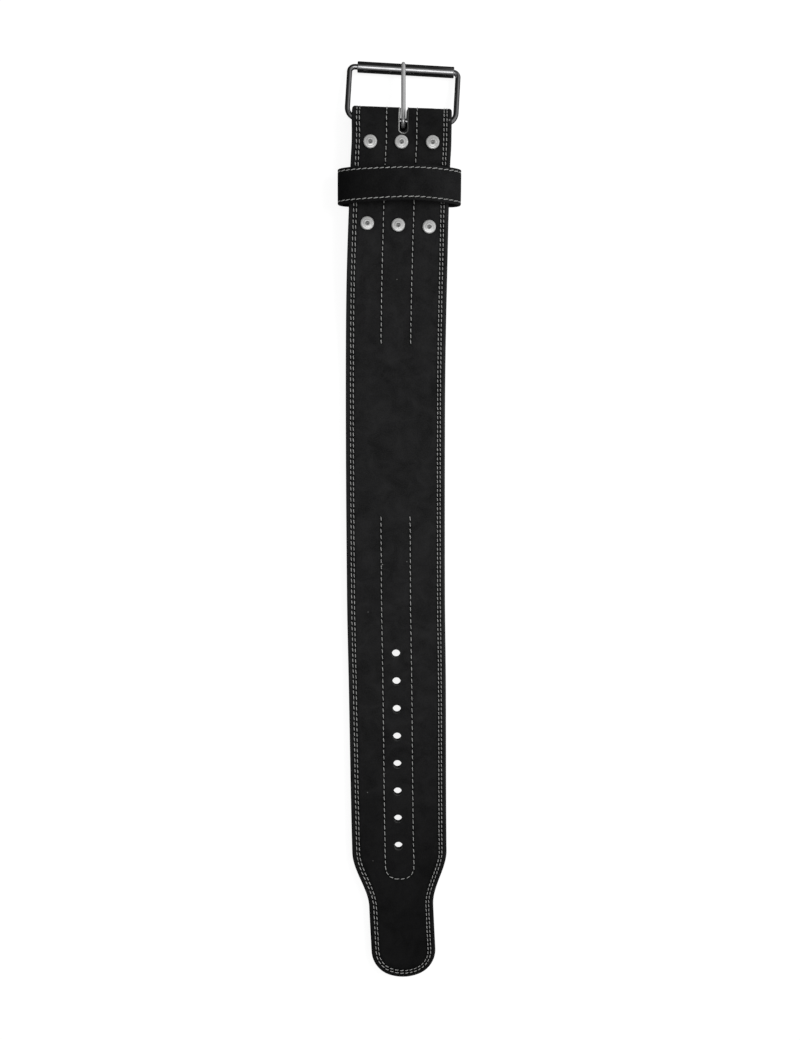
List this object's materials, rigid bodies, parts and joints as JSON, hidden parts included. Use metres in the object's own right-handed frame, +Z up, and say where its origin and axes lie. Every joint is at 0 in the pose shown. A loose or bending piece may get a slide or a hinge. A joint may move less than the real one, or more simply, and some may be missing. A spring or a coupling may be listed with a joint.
{
  "type": "weightlifting belt",
  "caption": "Thick suede leather lifting belt with a roller buckle and one prong, a keeper loop, rivets and a punched tongue, lying flat and unfastened.",
  "frame": {"origin": "on the surface that the belt lies on, under the middle of its box: midway between the roller and the tip of the tongue, and under the middle of the keeper", "axes": "+Y along the belt towards the buckle, +Z up out of its face, +X across it"},
  "size_m": [0.1216, 0.9355, 0.0382],
  "materials": {
    "suede": "matt napped suede",
    "nickel": "satin nickel plate",
    "chrome": "bright chrome plate"
  },
  "bodies": {
    "belt": {"belt_strap": "suede", "keeper_loop": "suede", "rivet_1": "nickel", "rivet_2": "nickel", "rivet_3": "nickel", "rivet_4": "nickel", "rivet_5": "nickel", "rivet_6": "nickel"},
    "frame": {"buckle_frame": "chrome"},
    "roller": {"buckle_roller": "chrome"},
    "prong": {"buckle_prong": "chrome"}
  },
  "joints": [
    {"name": "frame_hinge", "type": "hinge", "parent": "belt", "child": "frame", "pos_m": [0.00164, 0.40851, 0.0129], "axis": [0.9983, -0.0576, 0], "range_deg": [-80, 35]},
    {"name": "roller_spin", "type": "hinge", "parent": "frame", "child": "roller", "pos_m": [0.0063, 0.45979, 0.0054], "axis": [0.9983, -0.0576, 0], "continuous": true},
    {"name": "prong_hinge", "type": "hinge", "parent": "frame", "child": "prong", "pos_m": [0.00164, 0.40851, 0.0129], "axis": [0.9983, -0.0576, 0], "range_deg": [0, 75]}
  ]
}
